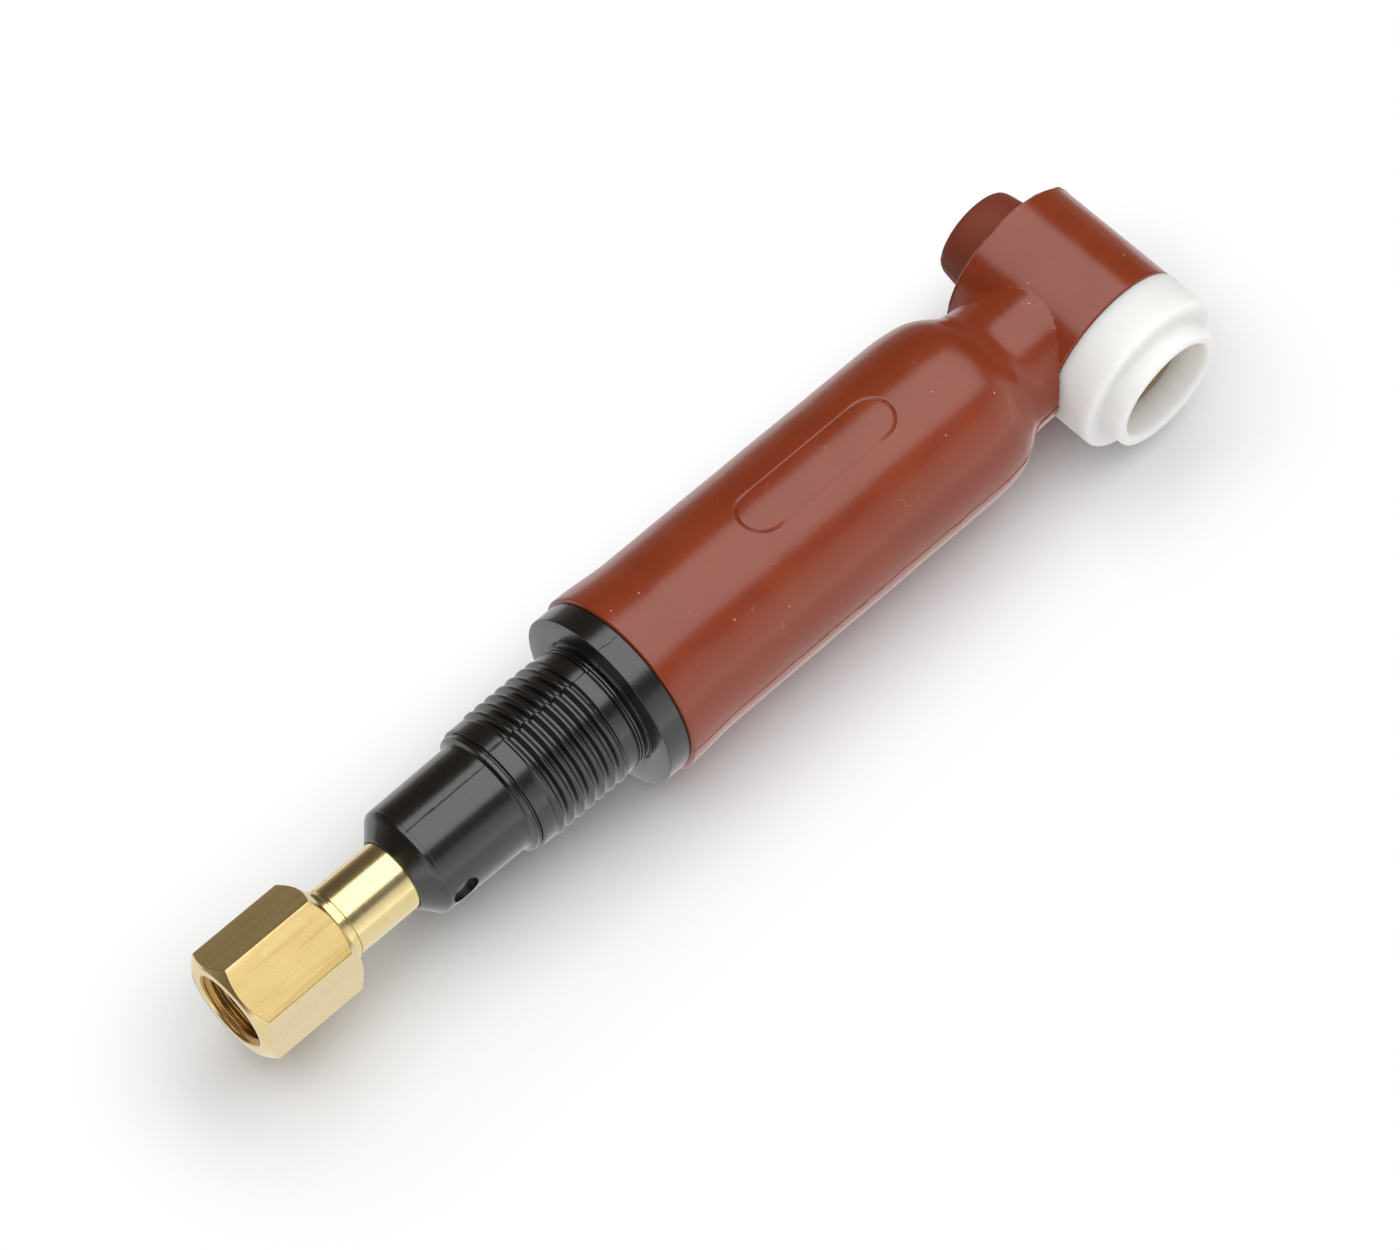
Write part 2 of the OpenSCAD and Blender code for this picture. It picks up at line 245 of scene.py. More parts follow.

# %% [markdown]
# The adapter is free-cutting brass: hexagon bar, drawn through a die, which leaves fine straight lines along the
# flats, and then turned, which leaves rings round the stem. The turned metal is bright pale yellow. The flats keep
# the bar's dull drawn skin, worn paler in streaks and scored darker in others. The flat that faces the cup's side is
# painted paler, a painted reflection of the bright table beside it, and the bore is painted darker, as painted shade
# inside the hole, and is duller. The flats are found by their distance from the axis. The head is cut from another
# brass, redder and more tarnished. A noise squeezed along one direction gives lines: along X on the flats, and
# across the axis, as rings, everywhere else.

# %% Free-cutting brass, drawn and turned
HALF_HEX, HEX_TURN = 6.35, 7
STEM_END, BORE_EDGE = 117, 4.82
ON_FLAT = {"From Min": (HALF_HEX - 0.04) * MM, "From Max": (HALF_HEX - 0.01) * MM}


def brass(name, rings_along, tone, stain_tone, hexagon=False):
    """Turned brass. With hexagon, the flats of a drawn bar and the bore behind them, painted darker as shade, are
    marked as well.
    """
    material, tree, output, place = new_material(name)
    across = {"X": (1, 0.02, 0.02), "Y": (0.02, 1, 0.02)}[rings_along]
    marks = drawn_out(tree, place, across, 0.14, Detail=4.0, Roughness=0.7)
    clouds = {"Vector": place, "Scale": per(3.5), "Detail": 5.0, "Roughness": 0.6}
    tarnish = add(tree, "TexNoise", clouds).outputs["Fac"]
    stain = add(tree, "MapRange", {"Value": tarnish, "From Min": 0.45, "From Max": 0.75, "To Max": 0.4}).outputs[0]
    colour = add(tree, "Mix", {0: stain, 6: linear(tone), 7: linear(stain_tone)}, data_type="RGBA").outputs[2]
    gloss = add(tree, "MapRange", {"Value": marks, **MIDDLE, "To Min": 0.16, "To Max": 0.24}).outputs[0]
    if hexagon:
        reach = 0.0
        for side in (HEX_TURN, HEX_TURN + 60, HEX_TURN + 120):
            out = add(tree, "VectorMath", {0: place, 1: (0, *facing(side))}, operation="DOT_PRODUCT").outputs["Value"]
            out = add(tree, "Math", {0: out}, operation="ABSOLUTE").outputs[0]
            reach = add(tree, "Math", {0: out, 1: reach}, operation="MAXIMUM").outputs[0]
        on_flat = add(tree, "MapRange", {"Value": reach, **ON_FLAT}).outputs[0]
        lines = drawn_out(tree, place, (0.03, 1, 1), 0.22, Detail=4.0, Roughness=0.65)
        pitted = {"Vector": place, "Scale": per(0.2), "Detail": 3.0, "Roughness": 0.7}
        grain = add(tree, "TexNoise", pitted).outputs["Fac"]
        flat_marks = add(tree, "Mix", {0: 0.5, 2: lines, 3: grain}, data_type="FLOAT").outputs[0]
        streaks = drawn_out(tree, place, (0.05, 1, 1), 1.1, Detail=3.0)
        worn = add(tree, "MapRange", {"Value": streaks, "From Min": 0.55, "From Max": 0.72, "To Max": 0.35}).outputs[0]
        scored = add(tree, "MapRange", {"Value": streaks, "From Min": 0.44, "From Max": 0.34, "To Max": 0.3}).outputs[0]
        mill = add(tree, "Mix", {0: stain, 6: linear("#c9b078"), 7: linear("#b99e63")}, data_type="RGBA").outputs[2]
        mill = add(tree, "Mix", {0: worn, 6: mill, 7: linear("#e4d5a8")}, data_type="RGBA").outputs[2]
        mill = add(tree, "Mix", {0: scored, 6: mill, 7: linear("#9c8346")}, data_type="RGBA").outputs[2]
        # The flat that faces the cup's side is painted paler: a painted reflection of the bright table beside it.
        out = add(tree, "VectorMath", {0: place, 1: (0, *facing(HEX_TURN))}, operation="DOT_PRODUCT").outputs["Value"]
        painted_reflection_on_flat = add(tree, "MapRange", {"Value": out, **ON_FLAT, "To Max": 0.7}).outputs[0]
        mill = add(tree, "Mix", {0: painted_reflection_on_flat, 6: mill, 7: linear("#ecdcb8")}, data_type="RGBA").outputs[2]
        speckle = add(tree, "MapRange", {"Value": grain, **MIDDLE, "To Min": 0.9, "To Max": 1.08}).outputs[0]
        mill = add(tree, "VectorMath", {0: mill, "Scale": speckle}, operation="SCALE").outputs[0]
        dull = add(tree, "MapRange", {
        "Value": flat_marks, "From Min": 0.35, "From Max": 0.65, "To Min": 0.36, "To Max": 0.48}).outputs[0]
        parts = add(tree, "SeparateXYZ", {0: place})
        side = add(tree, "CombineXYZ", {"Y": parts.outputs["Y"], "Z": parts.outputs["Z"]}).outputs[0]
        radius = add(tree, "VectorMath", {0: side}, operation="LENGTH").outputs["Value"]
        past = add(tree, "Math", {0: parts.outputs["X"], 1: STEM_END * MM}, operation="GREATER_THAN").outputs[0]
        within = add(tree, "Math", {0: radius, 1: BORE_EDGE * MM}, operation="LESS_THAN").outputs[0]
        in_bore = add(tree, "Math", {0: past, 1: within}, operation="MULTIPLY").outputs[0]
        # Inside the bore the colour is painted darker: painted shade inside the hole.
        colour = add(tree, "Mix", {0: in_bore, 6: colour, 7: linear("#b58f55")}, data_type="RGBA").outputs[2]
        gloss = add(tree, "Mix", {0: in_bore, 2: gloss, 3: 0.34}, data_type="FLOAT").outputs[0]
        colour = add(tree, "Mix", {0: on_flat, 6: colour, 7: mill}, data_type="RGBA").outputs[2]
        gloss = add(tree, "Mix", {0: on_flat, 2: gloss, 3: dull}, data_type="FLOAT").outputs[0]
        marks = add(tree, "Mix", {0: on_flat, 2: marks, 3: flat_marks}, data_type="FLOAT").outputs[0]
    bump = add(tree, "Bump", {"Height": marks, "Strength": 0.2, "Distance": 0.008 * MM}).outputs[0]
    shader = add(tree, "BsdfPrincipled", {"Base Color": colour, "Metallic": 1.0, "Roughness": gloss, "Normal": bump})
    tree.links.new(shader.outputs[0], output.inputs[0])
    return material


adapter_brass = brass("free_cutting_brass_drawn_bar", "X", "#e2cf9c", "#d2bb80", hexagon=True)
head_brass = brass("free_cutting_brass_turned", "Y", "#b8975a", "#8a6a38")
print("brass finishes:", adapter_brass.name, head_brass.name)

# %% [markdown]
# Where the copper tube enters each brass socket it is brazed. The filler, a yellow brass alloy, wets the joint and
# freezes in soft ripples with a trace of dark flux, so its roughness and bump come from a low, smooth noise.

# %% Brass braze filler, frozen bright
def braze_filler():
    material, tree, output, place = new_material("brass_braze_filler")
    ripple = add(tree, "TexNoise", {"Vector": place, "Scale": per(1.2)}).outputs["Fac"]
    flux = add(tree, "MapRange", {"Value": ripple, "From Min": 0.55, "From Max": 0.7}).outputs[0]
    colour = add(tree, "Mix", {0: flux, 6: linear("#dcc27c"), 7: linear("#8f7140")}, data_type="RGBA").outputs[2]
    bump = add(tree, "Bump", {"Height": ripple, "Strength": 0.4, "Distance": 0.08 * MM}).outputs[0]
    shader = add(tree, "BsdfPrincipled", {"Base Color": colour, "Metallic": 1.0, "Roughness": 0.34, "Normal": bump})
    tree.links.new(shader.outputs[0], output.inputs[0])
    return material


filler = braze_filler()
for node in ("rear_braze", "front_braze"):
    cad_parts[node].data.materials.clear()
    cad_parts[node].data.materials.append(filler)
print("filler on the two braze rings")

# %% [markdown]
# The connector is a black glass-filled nylon, injection moulded in two halves. The steel mould was turned, so faint
# rings from its cutter show on the moulding, and handling leaves short hairline scratches and a little pale dust.
# Black plastic shows nearly nothing but its reflections, so the detail goes into roughness and bump. Nylon's own IOR
# is about 1.53, and the glass in its skin makes the reflections stronger, so it is set higher.

# %% Black glass-filled nylon, injection moulded
def black_nylon():
    material, tree, output, place = new_material("black_glass_filled_nylon")
    skin = {"Vector": place, "Scale": per(0.35), "Detail": 3.0, "Roughness": 0.6}
    mottle = add(tree, "TexNoise", skin).outputs["Fac"]
    rings = drawn_out(tree, place, (1, 0.03, 0.03), 0.16, Detail=3.0)
    hairs = drawn_out(tree, place, (0.08, 1, 1), 0.3, Detail=6.0, Roughness=0.7)
    hairline = add(tree, "MapRange", {"Value": hairs, "From Min": 0.64, "From Max": 0.7}).outputs[0]
    mote = spots(tree, place, 1.6, 0.03, 0.055, 0.35)
    colour = add(tree, "Mix", {0: mote, 6: linear("#090807"), 7: linear("#6f6a62")}, data_type="RGBA").outputs[2]
    wear = add(tree, "Math", {0: hairline, 1: 0.1, 2: 0.0}, operation="MULTIPLY_ADD").outputs[0]
    satin = add(tree, "MapRange", {"Value": mottle, **MIDDLE, "To Min": 0.18, "To Max": 0.24}).outputs[0]
    gloss = add(tree, "Math", {0: satin, 1: wear}, operation="ADD").outputs[0]
    relief = add(tree, "Math", {0: rings, 1: 0.5, 2: mottle}, operation="MULTIPLY_ADD").outputs[0]
    bump = add(tree, "Bump", {"Height": relief, "Strength": 0.12, "Distance": 0.006 * MM}).outputs[0]
    shader = add(tree, "BsdfPrincipled", {"Base Color": colour, "Roughness": gloss, "IOR": 1.72, "Normal": bump,
                                          "Sheen Weight": 0.08, "Sheen Roughness": 0.3})
    tree.links.new(shader.outputs[0], output.inputs[0])
    return material


nylon = black_nylon()
print("connector finish:", nylon.name)

# %% [markdown]
# The neck and the head's insulation are one moulding of red-brown silicone rubber. Iron oxide colours it right
# through. It comes out of a polished mould with a satin skin, draws dust and shows tiny pale specks of filler.
# Silicone's own IOR is about 1.41, and the oxide in it makes it reflect more, so it is set higher. A little sheen
# stands for the dust along its edges. The boss at the back is duller than the rest, and its colour is painted darker,
# as painted shade where the barrel shades it. A mesh attribute marks it, so that the mark stays in place when the
# neck bends.

# %% Red-brown silicone rubber, moulded
def silicone_rubber():
    material, tree, output, place = new_material("red_silicone_rubber")
    cloud = add(tree, "TexNoise", {"Vector": place, "Scale": per(7), "Detail": 3.0}).outputs["Fac"]
    tone = add(tree, "MapRange", {"Value": cloud, **MIDDLE}).outputs[0]
    base = add(tree, "Mix", {0: tone, 6: linear("#7c2f14"), 7: linear("#843519")}, data_type="RGBA").outputs[2]
    speck = spots(tree, place, 3.0, 0.025, 0.045, 0.8)
    mote = spots(tree, place, 0.75, 0.04, 0.08, 0.22)
    curl = add(tree, "TexNoise", {"Vector": place, "Scale": per(2.6), "Detail": 1.0}).outputs["Fac"]
    from_line = add(tree, "Math", {0: curl, 1: 0.5}, operation="SUBTRACT").outputs[0]
    from_line = add(tree, "Math", {0: from_line}, operation="ABSOLUTE").outputs[0]
    thin = add(tree, "MapRange", {
        "Value": from_line, "From Min": 0.003, "From Max": 0.006, "To Min": 1.0, "To Max": 0.0}).outputs[0]
    patch = add(tree, "TexNoise", {"Vector": place, "Scale": per(3.4), "Detail": 0.0}).outputs["Fac"]
    here = add(tree, "MapRange", {"Value": patch, "From Min": 0.72, "From Max": 0.77, "To Max": 0.18}).outputs[0]
    hair = add(tree, "Math", {0: thin, 1: here}, operation="MULTIPLY").outputs[0]
    dusty = add(tree, "Math", {0: mote, 1: hair}, operation="MAXIMUM").outputs[0]
    pale = add(tree, "Math", {0: speck, 1: dusty}, operation="MAXIMUM").outputs[0]
    boss = add(tree, "Attribute", attribute_name="back_boss").outputs["Fac"]
    # The boss's colour is painted darker: painted shade where the barrel shades it.
    base = add(tree, "Mix", {0: boss, 6: base, 7: linear("#702608")}, data_type="RGBA").outputs[2]
    colour = add(tree, "Mix", {0: pale, 6: base, 7: linear("#d0ab94")}, data_type="RGBA").outputs[2]
    skin = add(tree, "TexNoise", {"Vector": place, "Scale": per(0.5), "Detail": 4.0, "Roughness": 0.6}).outputs["Fac"]
    satin = add(tree, "MapRange", {"Value": skin, **MIDDLE, "To Min": 0.2, "To Max": 0.27}).outputs[0]
    satin = add(tree, "Mix", {0: boss, 2: satin, 3: 0.7}, data_type="FLOAT").outputs[0]
    bump = add(tree, "Bump", {"Height": skin, "Strength": 0.16, "Distance": 0.015 * MM}).outputs[0]
    shader = add(tree, "BsdfPrincipled", {"Base Color": colour, "Roughness": satin, "IOR": 1.53, "Normal": bump,
                                          "Sheen Weight": 0.22, "Sheen Roughness": 0.3,
                                          "Sheen Tint": linear("#e8ab8c")})
    tree.links.new(shader.outputs[0], output.inputs[0])
    return material


rubber = silicone_rubber()
print("rubber finish:", rubber.name)

# %% [markdown]
# The tube in the neck is soft annealed copper, so that the neck can be bent by hand and stays bent. Annealing leaves
# a pinkish metal with darker clouds of oxide and faint lines from drawing.

# %% Annealed copper tube
def annealed_copper():
    material, tree, output, place = new_material("annealed_copper")
    cloud = add(tree, "TexNoise", {"Vector": place, "Scale": per(4), "Detail": 4.0}).outputs["Fac"]
    oxide = add(tree, "MapRange", {"Value": cloud, "From Min": 0.45, "From Max": 0.7}).outputs[0]
    colour = add(tree, "Mix", {0: oxide, 6: linear("#dd9673"), 7: linear("#8c4a30")}, data_type="RGBA").outputs[2]
    lines = drawn_out(tree, place, (0.04, 1, 1), 0.25, Detail=3.0)
    gloss = add(tree, "MapRange", {"Value": cloud, **MIDDLE, "To Min": 0.3, "To Max": 0.45}).outputs[0]
    bump = add(tree, "Bump", {"Height": lines, "Strength": 0.3, "Distance": 0.01 * MM}).outputs[0]
    shader = add(tree, "BsdfPrincipled", {"Base Color": colour, "Metallic": 1.0, "Roughness": gloss, "Normal": bump})
    tree.links.new(shader.outputs[0], output.inputs[0])
    return material


copper = annealed_copper()
print("tube finish:", copper.name)

# %% [markdown]
# The cup gasket is turned from a rod of PTFE, a waxy white plastic that lets a little light in. A lathe tool leaves
# very fine rings, and the soft surface takes a few faint grey rub marks.

# %% White PTFE, turned from rod
def turned_ptfe():
    material, tree, output, place = new_material("white_ptfe")
    rings = drawn_out(tree, place, (0.03, 1, 0.03), 0.15, Detail=3.0)
    rub = add(tree, "TexNoise", {"Vector": place, "Scale": per(5), "Detail": 5.0, "Roughness": 0.65}).outputs["Fac"]
    grey = add(tree, "MapRange", {"Value": rub, "From Min": 0.55, "From Max": 0.8, "To Max": 0.35}).outputs[0]
    colour = add(tree, "Mix", {0: grey, 6: linear("#e6e6e4"), 7: linear("#dad9d5")}, data_type="RGBA").outputs[2]
    bump = add(tree, "Bump", {"Height": rings, "Strength": 0.25, "Distance": 0.012 * MM}).outputs[0]
    shader = add(tree, "BsdfPrincipled", {"Base Color": colour, "Roughness": 0.42, "IOR": 1.35, "Normal": bump,
                                          "Subsurface Weight": 1.0, "Subsurface Radius": (1.0, 0.96, 0.92),
                                          "Subsurface Scale": 4 * MM})
    tree.links.new(shader.outputs[0], output.inputs[0])
    return material


ptfe = turned_ptfe()
print("gasket finish:", ptfe.name)

# %% [markdown]
# The cable adapter is one bar of brass: a half-inch hexagon with a female thread for the power cable, a small collar
# and a groove behind it, and a round stem that goes into the connector. The bar is spun as a round and each ring of
# points is then drawn in to the hexagon or to the cone that chamfers its ends, whichever is nearer the axis. That
# gives the curved edges that a lathe leaves where its cone crosses the flats. The thread is cut the same way, as a
# right-handed helix that runs out at its inner end.

# %% Cable adapter
HEX_START, HEX_END, HEX_CORNER, HEX_BLANK = 115.91, 129.71, 7.29, 7.35
FACE, CONE = 6.0, math.tan(math.radians(38))
STEM, COLLAR, CABLE_BORE, GAS_WAY, TUBE_SOCKET = 4.38, 4.65, 4.25, 2.3, 3.23
THREAD_INNER, CABLE_PITCH, CABLE_DEPTH = 118.71, 25.4 / 24, 0.5


def nearer(a, b, easing):
    """The smaller of two radii, eased into each other where they cross."""
    close = max(easing - abs(a - b), 0) / easing
    return min(a, b) - close * close * easing / 4


def helix(along, angle, pitch, crest, depth, whole):
    """Radius of a right-handed female thread with a rounded vee, cut to this share of its whole depth."""
    turn = (along / pitch - angle / 360) % 1
    vee = min(max((abs(turn - 0.5) * 2 - 0.1) / 0.75, 0), 1)
    return crest + depth * (1 - vee) * whole


def adapter_shape(along, radius, angle):
    if along > HEX_START and radius > 5.9:
        flat = abs(away((angle - HEX_TURN) % 60 * 6, 0)) / 6
        bar = min(HALF_HEX / math.cos(math.radians(flat)), HEX_CORNER)
        cone = FACE + min(along - HEX_START, HEX_END - along) / CONE
        if cone > FACE + 0.0005:
            radius = nearer(bar, cone, 0.07)
    elif THREAD_INNER + 0.01 < along <= HEX_END and radius < 5.3:
        whole = ramp(THREAD_INNER, THREAD_INNER + 1.49, along)
        radius = max(radius, helix(along, angle, CABLE_PITCH, CABLE_BORE, CABLE_DEPTH, whole))
    return along, radius, angle


cone_start, cone_end = HEX_START + (HEX_BLANK - FACE) * CONE, HEX_END - 1.05
stem = [(76.16, STEM), (112.7, STEM), (112.75, 4.35), (114.41, 4.35), (114.41, 4.1), (114.91, 4.1),
        (114.91, COLLAR), (HEX_START, COLLAR)]
hexagon = [(HEX_START, FACE), (cone_start, HEX_BLANK), (cone_end, HEX_BLANK), (HEX_END, FACE)]
cable_bore = [(HEX_END, 4.98), (128.98, CABLE_BORE), (THREAD_INNER, CABLE_BORE), (116.76, GAS_WAY),
              (84.2, GAS_WAY), (84.2, TUBE_SOCKET), (76.16, TUBE_SOCKET)]
adapter_outline = eased(stem + hexagon + cable_bore, 0.07, sharp=(8, 9, 10, 11, 13))
adapter_skin = spun(adapter_outline, "X", 360, rows=[
    (HEX_START, cone_start, 5.95, 7.4, 0.06), (cone_end - 0.01, HEX_END, 5.95, 7.4, 0.06),
    (cone_start, cone_end, 7.0, 7.4, 1.2), (THREAD_INNER, HEX_END, 4.2, 5.0, 0.08)])
reshape(adapter_skin, "X", adapter_shape)
adapter = piece("adapter", adapter_skin, adapter_brass, 80)
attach(adapter, "handle_end")
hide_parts("cable_adapter")
report(adapter)

# %% [markdown]
# The connector is moulded onto the stem in a two-part mould. Its flange ends the rubber, the handle shell screws onto
# its thread, and a small blind hole in the barrel locates the shell. The mould's halves never meet exactly: the
# thread steps sideways at the seam, and a hairline runs along the barrel, the bands and the flange. The seam's
# columns are gathered to draw so thin a line.

# %% Handle connector
FLANGE_START, FLANGE_END, FLANGE = 72.2, 75.4, 11.4
THREAD_START, THREAD_END, HANDLE_PITCH = 78.58, 89.36, 1.54
THREAD_CREST, THREAD_ROOT, THREAD_FLANK = 8.1, 7.65, 0.65


def seam_at(along):
    """Where the connector's seam lies, in degrees: it wanders a little on the barrel."""
    bands = ramp(75.5, 76.6, along) * (1 - ramp(91.6, 92.3, along))
    slow, quick = wobble(along * 0.7, 0), wobble(along * 2.3, 5)
    return 90 + 3.5 * bands + 0.9 * slow + 0.5 * quick


def connector_shape(along, radius, angle):
    """Cuts the handle thread, with its step at the seam, and the seam's hairline, a few hundredths deep."""
    if along < FLANGE_START + 0.1 or radius < 6.3 or along > 104.0:
        return along, radius, angle
    from_seam = away(angle, seam_at(along))
    if THREAD_START < along < THREAD_END and radius > 7:
        step = 0.36 if from_seam > 0 else 0.0
        turn = ((along - step) / HANDLE_PITCH - angle / 360) % 1
        flank = min(max((0.63 - abs(turn - 0.5) * HANDLE_PITCH) / 0.5, 0), 1)
        ridge = THREAD_ROOT + THREAD_FLANK * (0.75 * flank + 0.25 * ramp(0, 1, flank))
        whole = ramp(THREAD_START, THREAD_START + 0.45, along) * (1 - ramp(THREAD_END - 0.45, THREAD_END, along))
        radius = THREAD_CREST + (ridge - THREAD_CREST) * whole
    ragged = 0.6 + 0.8 * abs(wobble(along * 2.8, 3))
    crack = ramp(89.4, 90.0, along) * (1 - ramp(90.7, 91.2, along)) * ragged
    chip = max(1 - abs(along - 100.1) / 0.35, 0)
    gap = max(crack, chip)
    hairline = max(1 - abs(from_seam) * math.radians(1) * radius / (0.1 + 0.1 * gap), 0)
    depth = 0.13 * (0.6 + 0.8 * wobble(along * 1.7, 9)) + 0.12 * gap
    halves = 0.012 if from_seam > 0 else 0.0
    return along, radius + halves - max(depth, 0.04) * hairline, angle


spigot = [(62.2, 7.7), (63.0, 7.7), (63.0, 9.0), (64.6, 9.0), (64.6, 7.7), (66.33, 7.7), (66.33, 9.0), (67.93, 9.0),
          (67.93, 7.7), (FLANGE_START, 7.7)]
flange = [(FLANGE_START, FLANGE), (FLANGE_END, FLANGE), (FLANGE_END, 8.4), (75.15, 7.75)]
rear_bands = [(75.86, 7.75), (75.86, THREAD_CREST), (76.32, THREAD_CREST), (76.32, 7.75), (76.78, 7.75)]
thread = [(76.78, THREAD_CREST), (THREAD_START, THREAD_CREST), (THREAD_END, THREAD_CREST), (91.26, THREAD_CREST)]
front_band = [(91.26, 7.6), (91.56, 7.6), (91.56, 7.8), (92.06, 7.8)]
barrel = [(92.3, 7.2), (92.81, 7.05), (103.5, 6.92), (103.58, 6.88), (103.66, 6.92), (103.85, 6.9), (104.1, 6.84),
          (104.3, 6.72), (104.48, 6.55), (106.16, 4.68)]
stem_room = [(106.16, 4.43), (74.9, 4.43), (74.9, 3.33), (62.2, 3.33)]
connector_outline = eased(spigot + flange + rear_bands + thread + front_band + barrel + stem_room, 0.12)
connector_skin = spun(connector_outline, "X", 288, rows=[
    (72.3, FLANGE_END, 11.2, 12, 0.25), (76.8, THREAD_START, 8.0, 8.2, 0.2),
    (THREAD_START - 0.01, THREAD_END + 0.01, 8.0, 8.2, 0.08), (THREAD_END, 91.2, 8.0, 8.2, 0.2),
    (92.3, 103.5, 6.85, 7.2, 0.3), (104.4, 106.2, 4.6, 6.6, 0.4)])
reshape(connector_skin, "X", gathered(92, 0.74))
reshape(connector_skin, "X", connector_shape)
connector = piece("connector", connector_skin, nylon, 80)
side_hole, hole_radius = Vector((101.71, 8.22, 0)) * MM, 1.75 * MM
hole_tool = bmesh.new()
bmesh.ops.create_cone(hole_tool, cap_ends=True, segments=64, radius1=hole_radius, radius2=hole_radius, depth=4 * MM,
                      matrix=Matrix.Translation(side_hole) @ Matrix.Rotation(math.pi / 2, 4, "X"))
combine(connector, hole_tool, "DIFFERENCE", 80)
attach(connector, "handle_end")
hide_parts("handle_connector")
report(connector)

# %% [markdown]
# The rubber is modelled as two skins that meet out of sight between the two bends. Both have the outline of the
# sleeve, a thread of flash along the mould's parting plane, and a very slight unevenness, because soft rubber never
# leaves a mould quite straight. The oblong plaque is a thin groove in the sleeve's top.

# %% Sleeve shapes shared by both rubber skins
SPLIT, SLEEVE, STUB, TUBE_ROOM = 43.0, 11.46, 8.5, 3.33
PLAQUE_START, PLAQUE_END, PLAQUE_HALF, PLAQUE_SIDE = 32.85, 49.95, 2.85, 0.55


def uneven(place_mm, depth):
    """A smooth unevenness of a few hundredths of a millimetre."""
    return depth * noise.noise(place_mm / 6.5) + depth * 0.5 * noise.noise(place_mm / 2.6 + Vector((7, 3, 1)))


def flash(from_seam, height, width):
    """Height of the thread of flash at this distance from the parting line."""
    return height * max(1 - (from_seam / width) ** 2, 0)


def sleeve_shape(along, radius, angle):
    """Adds the unevenness, the two threads of flash and the small fold where the sleeve closes in."""
    if radius < 8.2:
        return along, radius, angle
    side, up = facing(angle)
    spot = Vector((along, radius * side, radius * up))
    wander = 0.25 * wobble(along * 0.45, 2) + 0.12 * wobble(along * 1.9, 4)
    nearest = min(abs(away(angle, 0)), abs(away(angle, 180)))
    line = math.radians(nearest) * radius * (1 if abs(away(angle, 0)) < 90 else -1) * (1 if up > 0 else -1)
    tears = ramp(17, 14.5, along) * abs(wobble(along * 3.1, 14))
    rough = 0.5 + 0.8 * abs(wobble(along * 1.3, 11)) + 1.6 * tears
    fold = 0
    if 12.5 < along < 16.5:
        fold_at = 14.0 + 0.7 * (142 - angle) / 30 + 0.08 * wobble(angle * 0.2, 6)
        reach = ramp(150, 141, angle) * ramp(106, 116, angle)
        fold = 0.13 * math.exp(-((along - fold_at) / 0.15) ** 2) * reach
    radius += uneven(spot, 0.035) + flash(line - wander, 0.16 * rough, 0.22) - fold
    return along, radius, angle


def curve_through(points, parts):
    """A smooth line through the points, each gap cut into so many parts."""
    made = []
    for i in range(len(points) - 1):
        a, b, c, d = (Vector(points[min(max(i + k, 0), len(points) - 1)]) for k in (-1, 0, 1, 2))
        slope, bow, twist = c - a, 2 * a - 5 * b + 4 * c - d, 3 * b - 3 * c + d - a
        made += [tuple(b + slope * (t / 2) + bow * (t * t / 2) + twist * (t ** 3 / 2))
                 for t in (k / parts for k in range(parts))]
    return made + [tuple(points[-1])]


def plaque_edge(spot):
    """Distance in mm from a point on the sleeve's top to the outline of the plaque, negative inside."""
    along = min(max(spot.x, PLAQUE_START), PLAQUE_END)
    across = math.atan2(-spot.y, spot.z) * SLEEVE - PLAQUE_SIDE
    return math.hypot(spot.x - along, across) - PLAQUE_HALF


def press_plaque(skin):
    """Cuts the skin finer along the plaque's outline, and presses the groove in."""
    top = [f for f in skin.faces if f.calc_center_median().z > 8 * MM]
    near = [f for f in top if abs(plaque_edge(f.calc_center_median() / MM)) < 0.55]
    edges = list(dict.fromkeys(e for f in near for e in f.edges))
    bmesh.ops.subdivide_edges(skin, edges=edges, cuts=4, use_grid_fill=True)
    for v in skin.verts:
        if v.co.z > 8 * MM:
            spot = v.co / MM
            edge = plaque_edge(spot)
            if edge < 0.4:
                groove = math.exp(-(edge / 0.13) ** 2)
                end = 0.4 + 0.9 * ramp(7, 10, abs(spot.x - (PLAQUE_START + PLAQUE_END) / 2))
                v.co.yz *= 1 - (0.17 * end * groove + 0.035 * ramp(0.1, -0.3, edge)) / SLEEVE
    return len(near)


print("plaque centre line from", PLAQUE_START, "to", PLAQUE_END, "mm, half width", PLAQUE_HALF, "mm")

# %% Rear rubber skin
flare = [(64.5 + k, SLEEVE + 0.38 * ramp(0, 7, k)) for k in range(8)]
mouth = [(72.08, 11.84), (72.18, 11.74), (72.18, 7.75)]
spigot_room = [(67.98, 7.75), (67.98, 9.05), (66.28, 9.05), (66.28, 7.75), (64.65, 7.75), (64.65, 9.05), (62.95, 9.05),
               (62.95, 7.75), (62.15, 7.75), (62.15, TUBE_ROOM)]
rear_outline = [(SPLIT, TUBE_ROOM), (SPLIT, SLEEVE)] + flare + mouth + spigot_room
rear_skin = spun(rear_outline, "X", 288, rows=[(SPLIT, 72.1, 11.4, 12, 0.42), (SPLIT, 62.2, 3.2, 3.4, 1.0)])
reshape(rear_skin, "X", gathered(0, 0.55))
reshape(rear_skin, "X", sleeve_shape)
print("plaque faces cut finer:", press_plaque(rear_skin))
rubber_rear = piece("rubber_rear", rear_skin, rubber, 50)
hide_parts("neck_sleeve_rear", "neck_sleeve_middle")
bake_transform(rubber_rear)
report(rubber_rear)

# %% [markdown]
# At its other end the sleeve closes in over a round shoulder to a thinner stub, which runs into the rubber barrel
# round the head. Stub and barrel cross at a right angle and meet in a crisp line, so they are two spun shapes joined
# by a Boolean, and the room for the brass inside is cut out of the join afterwards.

